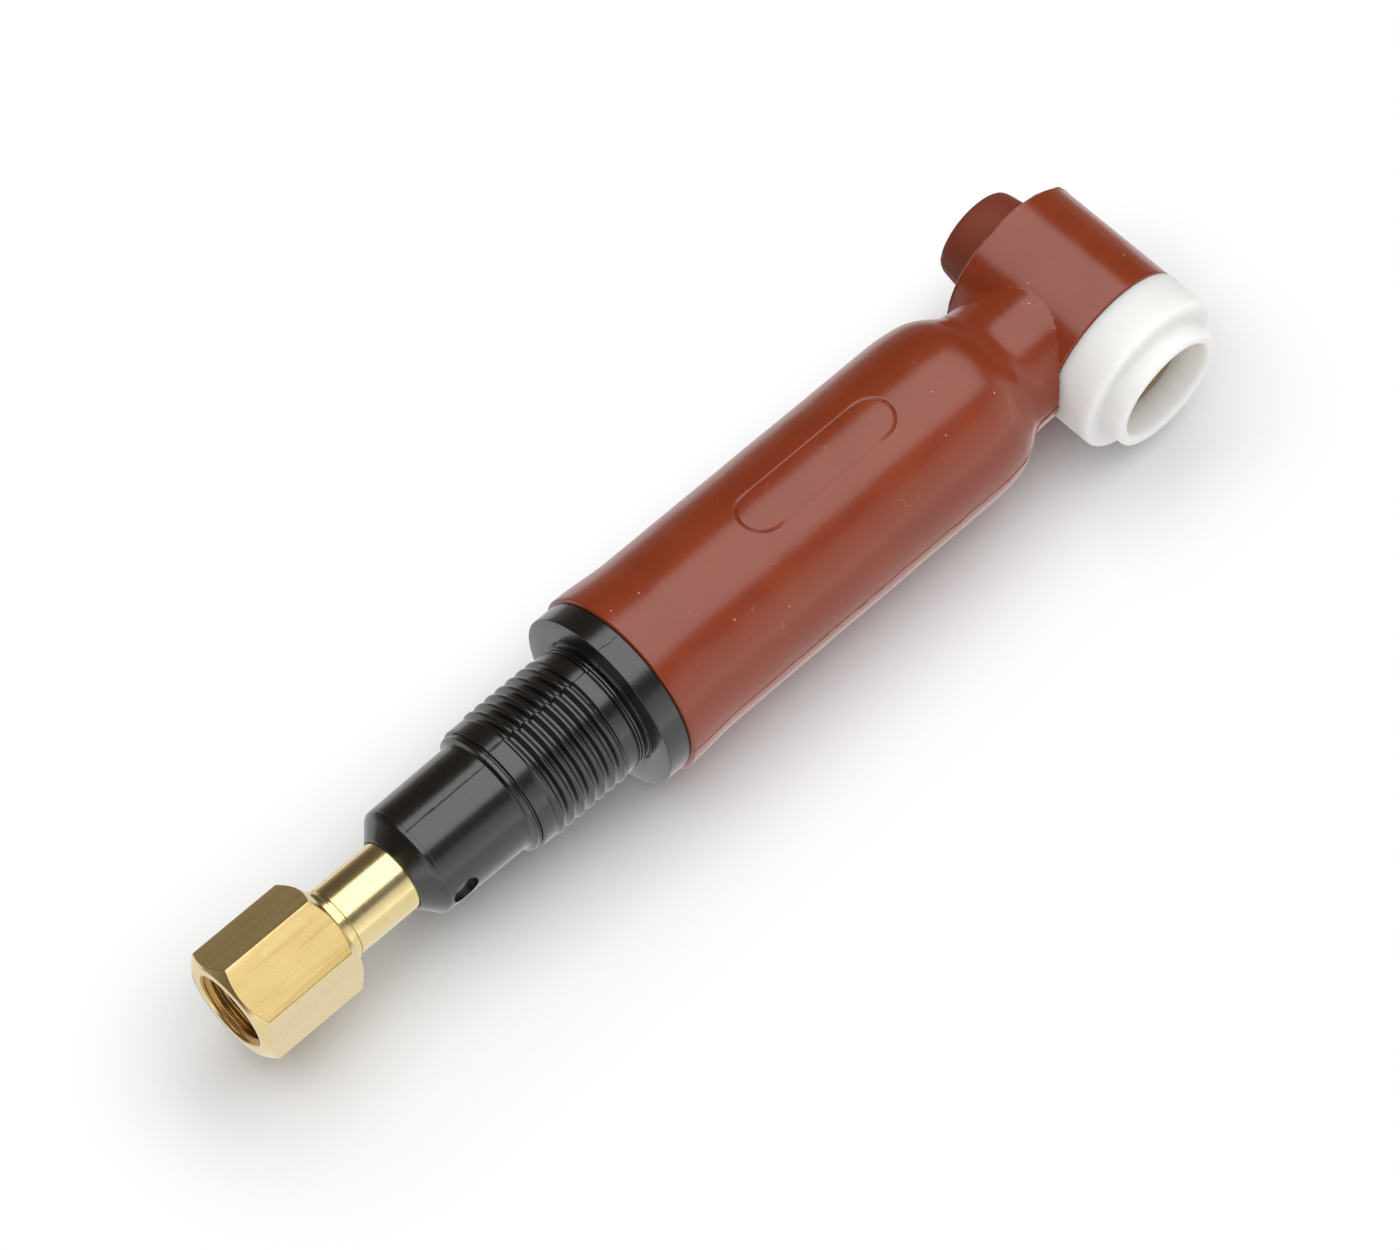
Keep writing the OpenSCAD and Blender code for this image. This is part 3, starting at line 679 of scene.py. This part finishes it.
# %% Front rubber skin
BARREL, BACK, RIM = 10.4, -9.6, -9.45
shoulder = curve_through([(23.6, SLEEVE), (21.6, 11.40), (19.6, 11.19), (18.1, 10.86), (16.9, 10.34), (15.8, 9.66),
                          (14.9, 9.10), (14.0, 8.74), (12.8, 8.55), (11.5, STUB)], 5)
front_outline = [(SPLIT, TUBE_ROOM), (SPLIT, SLEEVE)] + shoulder + [(2.0, STUB), (2.0, TUBE_ROOM)]
front_skin = spun(front_outline, "X", 288, rows=[
    (23.6, SPLIT, 11.4, 12, 0.42), (15.3, 23.61, 8.4, 12, 0.35), (13.4, 15.3, 8.4, 12, 0.1),
    (2.0, 13.4, 8.4, 12, 0.35), (2.0, SPLIT, 3.2, 3.4, 1.0)])
reshape(front_skin, "X", gathered(0, 0.55))
reshape(front_skin, "X", sleeve_shape)
print("plaque faces cut finer:", press_plaque(front_skin))


def barrel_shape(along, radius, angle):
    """Adds the unevenness, the threads of flash and the rough edge that the mould leaves on the barrel's back rim."""
    if radius < 5 or along < -9.56 and radius > 6.6:
        return along, radius, angle
    side, up = facing(angle)
    nearest = min(abs(away(angle, 90)), abs(away(angle, 270)))
    line = math.radians(nearest) * radius
    rough = 0.05 + 0.24 * max(noise.noise(Vector((side * 5, up * 5, 5))) + 0.1, 0)
    rim = max(1 - abs(along - RIM) / 0.1, 0) * (radius > 10) * rough
    spot = Vector((radius * up, along, radius * side))
    return along, radius + uneven(spot, 0.03) + flash(line, 0.08, 0.2) + rim, angle


barrel_side = [(7.08, 0), (7.08, 10.12), (7.0, 10.29), (6.82, BARREL), (-9.34, BARREL), (RIM, BARREL), (-9.55, 10.36)]
barrel_back = [(BACK, 10.26), (BACK, 6.85), (-9.66, 6.67)]
boss_side = curve_through([(-9.85, 6.5), (-11.4, 6.36), (-13.0, 6.17), (-14.3, 5.98), (-14.9, 5.84)], 4)
boss_end = [(-15.2, 5.7), (-15.35, 5.53), (-15.4, 5.35), (-15.4, 0)]
barrel_outline = barrel_side + barrel_back + boss_side + boss_end
barrel_skin = spun(barrel_outline, "Y", 256, rows=[(-9.34, 6.83, 10.3, 11, 0.3)])
reshape(barrel_skin, "Y", gathered(90, 0.5))
reshape(barrel_skin, "Y", barrel_shape)
rubber_front = piece("rubber_front", front_skin, rubber, 50)
combine(rubber_front, barrel_skin, "UNION", 50)


def ragged_seat(along, radius, angle):
    """The stub's rubber ends raggedly where it meets the gasket."""
    ragged = noise.noise(Vector((angle * 0.45, along * 0.02, 8)))
    return along, radius + 0.12 * (radius > 10) * ragged, angle


head_room = spun([(-16, 0), (-16, 5.2), (-8.05, 5.2), (-8.05, 8.25), (7.08, 8.25), (7.08, 10.66), (25, 10.66), (25, 0)],
                 "Y", 256)
reshape(head_room, "Y", ragged_seat)
combine(rubber_front, head_room, "DIFFERENCE", 50)
socket_room = spun([(0, 0), (0, 5.05), (13.55, 5.05), (13.55, 4.25), (14.75, 4.25), (14.75, 0)], "X", 96)
combine(rubber_front, socket_room, "DIFFERENCE", 50)
back_boss = rubber_front.data.attributes.new("back_boss", "FLOAT", "POINT")
on_boss = [ramp(-9.75, -10.1, v.co.y / MM) * (math.hypot(v.co.x, v.co.z) < 7.5 * MM)
           for v in rubber_front.data.vertices]
back_boss.data.foreach_set("value", on_boss)
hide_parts("head_jacket", "neck_sleeve_middle")
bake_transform(rubber_front)
report(rubber_front)

# %% [markdown]
# The copper tube carries gas and current through the neck and bends with it. It is spun with rings a millimetre
# apart and split where the rubber is split. The CAD node is one straight tube, and these two pieces stand for it.

# %% Neck tube
def tube_skin(start, end):
    return spun([(start, 2.2), (start, 3.175), (end, 3.175), (end, 2.2)], "X", 64, rows=[(start, end, 2.1, 3.3, 1.0)])


tube_rear = piece("tube_rear", tube_skin(SPLIT, 84.16), copper)
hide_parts("neck_tube")
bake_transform(tube_rear)
report(tube_rear)
tube_front = piece("tube_front", tube_skin(5.6, SPLIT), copper)
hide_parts("neck_tube")
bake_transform(tube_front)
report(tube_front)

# %% [markdown]
# Inside the rubber is the head: a turned brass barrel, threaded at the front for the collet body and at the back for
# the back cap, with a socket on its side for the tube. Only its two ends can be seen, but both threads are real
# helixes, because they show in the bores. A thin lip on the nose stands inside the gasket's bore.

# %% Brass head
HEAD_PITCH, HEAD_DEPTH, HEAD_BORE, HEAD_BODY, HEAD_STOP = 25.4 / 32, 0.38, 4.35, 8.2, 3.5


def head_shape(along, radius, angle):
    if radius < 4.9 and (along > 0.3 or along < -6.9):
        whole = ramp(0.3, 1.2, along) if along > 0 else 1 - ramp(-7.6, -6.9, along)
        radius = max(radius, helix(along, angle, HEAD_PITCH, HEAD_BORE, HEAD_DEPTH, whole))
    return along, radius, angle


head_side = [(-15.0, 5.15), (-8.0, 5.15), (-8.0, HEAD_BODY), (7.1, HEAD_BODY)]
head_nose = [(7.1, 7.6), (10.8, 7.6), (10.8, 6.4), (11.9, 6.4), (11.9, 4.8), (11.45, HEAD_BORE)]
head_bores = [(0, HEAD_BORE), (-0.85, HEAD_STOP), (-5.15, HEAD_STOP), (-6.0, HEAD_BORE), (-14.6, HEAD_BORE),
              (-15.0, 4.75)]
head_outline = eased(head_side + head_nose + head_bores, 0.08, sharp=(9, 10, 13, 14))
head_skin = spun(head_outline, "Y", 160, rows=[(0, 11.9, 4.3, 4.8, 0.085), (-15, -6, 4.3, 4.8, 0.085)])
reshape(head_skin, "Y", head_shape)
head = piece("head", head_skin, head_brass, 80)
combine(head, spun([(5.2, 0), (5.2, 5.0), (13.5, 5.0), (13.5, 0)], "X", 96), "UNION", 80)
combine(head, spun([(5.5, 0), (5.5, 3.225), (14, 3.225), (14, 0)], "X", 64), "DIFFERENCE", 80)
combine(head, spun([(2, 0), (2, 1.8), (5.6, 1.8), (5.6, 0)], "X", 48), "DIFFERENCE", 80)
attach(head, "head")
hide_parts("head_body")
report(head)

# %% [markdown]
# The cup gasket pushes over the brass nose against the rubber. It is a thick ring with a rounded front edge, a cove
# and a thinner ring that centres the cup. It comes off by hand, so it is a piece of its own on its own body.

# %% Cup gasket
quarter = [math.radians(angle) for angle in range(0, 91, 15)]
gasket_side = [(7.1, 7.66), (7.1, 10.24), (7.18, 10.42), (7.36, 10.5), (12.35, 10.5)]
front_edge = [(12.4 + 0.5 * math.sin(turn), 10.0 + 0.5 * math.cos(turn)) for turn in quarter[1:]]
cove = [(13.7 - 0.8 * math.cos(turn), 8.85 - 0.8 * math.sin(turn)) for turn in quarter]
cup_ring = [(15.5, 8.05), (15.7, 7.99), (15.8, 7.8), (15.8, 6.98), (15.72, 6.78), (15.5, 6.7)]
gasket_bore = [(10.95, 6.7), (10.9, 6.75), (10.9, 7.66)]
gasket_skin = spun(gasket_side + front_edge + cove + cup_ring + gasket_bore, "Y", 256,
                   rows=[(7.36, 12.35, 10.4, 11, 0.5), (10.95, 15.5, 6.6, 6.8, 0.5)])
gasket = piece("gasket", gasket_skin, ptfe, 40)
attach(gasket, "gasket")
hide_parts("cup_gasket")
report(gasket)

# %% [markdown]
# The torch lies on a pale table. The table is small and the room behind it is white to the camera, so nothing shows
# where it ends. Close to the torch the table takes the shadow, and further out it turns into the plain white of the
# room. The white is seen by camera, glossy and transmission rays only, so the object isn't lit by it and metal still
# shows it. Mirrored in the torch, the table is white all round but for a strip on the lamp's side, where the torch's
# own edges show it grey. The table has a top and no underside: seen from below it is clear, so that it doesn't hide
# the underside of the torch.

# %% Table
TABLE_Z, TABLE_RADIUS, TABLE_CENTRE = -11.92, 157, (58, 95)
FADE_START, FADE_END = 12, 28


def pale_table():
    material, tree, output, place = new_material("pale_paper_table")
    fibre = add(tree, "TexNoise", {"Vector": place, "Scale": per(0.8), "Detail": 4.0}).outputs["Fac"]
    tone = add(tree, "Mix", {0: fibre, 6: linear("#e7e8ea"), 7: linear("#eaebed")}, data_type="RGBA").outputs[2]
    paper = add(tree, "BsdfDiffuse", {"Color": tone}).outputs[0]
    white = add(tree, "Emission", {"Color": (1, 1, 1, 1), "Strength": 1.0}).outputs[0]
    parts = add(tree, "SeparateXYZ", {0: place})
    lamp_side = add(tree, "Math", {0: parts.outputs["Y"], 1: -1.25}, operation="MULTIPLY").outputs[0]

    def distance(low, high, share, reach):
        """Distance from a span of X in mm. The shadow falls to the cup's side, so that side counts for less there."""
        inside = add(tree, "Clamp", {"Value": parts.outputs["X"], "Min": low * MM, "Max": high * MM}).outputs[0]
        off_x = add(tree, "Math", {0: parts.outputs["X"], 1: inside}, operation="SUBTRACT").outputs[0]
        cup_side = add(tree, "Math", {0: parts.outputs["Y"], 1: share, 2: -reach * MM}, operation="MULTIPLY_ADD")
        cup_side = cup_side.outputs[0]
        off_y = add(tree, "Math", {0: cup_side, 1: lamp_side}, operation="MAXIMUM").outputs[0]
        off = add(tree, "CombineXYZ", {"X": off_x, "Y": off_y}).outputs[0]
        return add(tree, "VectorMath", {0: off}, operation="LENGTH").outputs["Value"]

    from_head = add(tree, "Math", {0: distance(-5, 5, 1.0, 10), 1: 3 * MM}, operation="ADD").outputs[0]
    far = add(tree, "Math", {0: distance(0, 122, 0.88, 0), 1: from_head}, operation="MINIMUM").outputs[0]
    fade = add(tree, "MapRange", {"Value": far, "From Min": FADE_START * MM, "From Max": FADE_END * MM},
               interpolation_type="SMOOTHSTEP").outputs[0]
    strip = add(tree, "Math", {0: parts.outputs["Y"], 1: 16 * MM}, operation="ADD").outputs[0]
    strip = add(tree, "Math", {0: strip}, operation="ABSOLUTE").outputs[0]
    mirrored = add(tree, "MapRange", {
        "Value": strip, "From Min": 2 * MM, "From Max": 24 * MM, "To Min": 0.3}).outputs[0]
    rays = add(tree, "LightPath")
    mirror = add(tree, "Math", {0: rays.outputs["Is Glossy Ray"], 1: rays.outputs["Is Transmission Ray"]},
                 operation="ADD", use_clamp=True).outputs[0]
    by_camera = add(tree, "Math", {0: rays.outputs["Is Camera Ray"], 1: fade}, operation="MULTIPLY").outputs[0]
    share = add(tree, "Math", {0: mirror, 1: mirrored, 2: by_camera}, operation="MULTIPLY_ADD").outputs[0]
    top = add(tree, "MixShader", {0: share, 1: paper, 2: white}).outputs[0]
    underside = add(tree, "NewGeometry").outputs["Backfacing"]
    clear = add(tree, "BsdfTransparent").outputs[0]
    one_sided = add(tree, "MixShader", {0: underside, 1: top, 2: clear}).outputs[0]
    tree.links.new(one_sided, output.inputs[0])
    return material


table_skin = bmesh.new()
bmesh.ops.create_circle(table_skin, cap_ends=True, segments=96, radius=TABLE_RADIUS * MM,
                        matrix=Matrix.Translation([c * MM for c in (*TABLE_CENTRE, TABLE_Z)]))
table = piece("table", table_skin, pale_table())
print("table at z =", TABLE_Z, "mm")

# %% [markdown]
# One large soft box hangs over the torch, a little to the side away from the cup, and gives the long bright bands and
# the soft shadow. The room is dim and faintly warm on the lamp's side, and pale low down on the cup's side, which
# draws the second, weaker band.

# %% Soft box and room
def soft_box(name, size, location, radiance):
    """A rectangular lamp facing straight down, with the radiance that it should show."""
    lamp = bpy.data.lights.new(name, "AREA")
    lamp.shape, lamp.size, lamp.size_y = "RECTANGLE", size[0], size[1]
    lamp.energy = radiance * math.pi * size[0] * size[1]
    made = bpy.data.objects.new(name, lamp)
    made.location = location
    bpy.context.scene.collection.objects.link(made)
    return made


soft_box("soft_box", (1.2, 0.81), (0.015, -0.065, 0.6), 2.08)

world = bpy.data.worlds.new("pale_room")
bpy.context.scene.world = world
world.use_nodes = True
room = world.node_tree
room.nodes.clear()
toward = add(room, "SeparateXYZ", {0: add(room, "TexCoord").outputs["Generated"]})
side, height = toward.outputs["Y"], toward.outputs["Z"]
smooth = {"interpolation_type": "SMOOTHSTEP"}
to_cup = add(room, "MapRange", {"Value": side, "From Min": 0.1, "From Max": 0.35}, **smooth).outputs[0]
low = add(room, "MapRange", {
    "Value": height, "From Min": 0.5, "From Max": 0.62, "To Min": 1.0, "To Max": 0.08}, **smooth).outputs[0]
lower = add(room, "MapRange", {
    "Value": height, "From Min": 0.55, "From Max": -0.05, "To Min": 0.62, "To Max": 1.35}).outputs[0]
low = add(room, "Math", {0: low, 1: lower}, operation="MULTIPLY").outputs[0]
panel = add(room, "Math", {0: to_cup, 1: low}, operation="MULTIPLY").outputs[0]
under = add(room, "MapRange", {
    "Value": height, "From Min": -0.15, "From Max": 0.1, "To Min": 0.34, "To Max": 0.13}).outputs[0]
lit_room = add(room, "Math", {0: panel, 1: under}, operation="ADD").outputs[0]
rays = add(room, "LightPath")
strength = add(room, "Mix", {0: rays.outputs["Is Camera Ray"], 2: lit_room, 3: 1.0}, data_type="FLOAT").outputs[0]
plain = add(room, "Math", {0: to_cup, 1: rays.outputs["Is Camera Ray"]}, operation="MAXIMUM").outputs[0]
wall = add(room, "Mix", {0: plain, 6: linear("#ffeedc"), 7: (1, 1, 1, 1)}, data_type="RGBA").outputs[2]
background = add(room, "Background", {"Color": wall, "Strength": strength})
room.links.new(background.outputs[0], add(room, "OutputWorld").inputs[0])
print("soft box and room made")

# %% [markdown]
# The camera looks down from beside the cup at about sixty degrees, through a long lens, so the torch lies across the
# picture with little perspective. Its place and its three directions are written out, because a long lens needs them
# exactly.

# %% Camera
lens = bpy.data.cameras.new("camera")
camera = bpy.data.objects.new("camera", lens)
bpy.context.scene.collection.objects.link(camera)
bpy.context.scene.camera = camera
right, up = Vector((-0.71703621, 0.69702311, 0.00422629)), Vector((-0.60103035, -0.62133532, 0.50269766))
back, place = Vector((0.35301783, 0.3579123, 0.86445197)), Vector((241.845, 184.577, 444.145)) * MM
camera.matrix_world = Matrix.Translation(place) @ Matrix((right, up, back)).transposed().to_4x4()
lens.lens, lens.sensor_width = 118.286, 36
lens.clip_start, lens.clip_end = 0.01, 10
bpy.context.scene.view_settings.view_transform = "Standard"
print("camera", round(camera.location.length, 3), "m from the head")
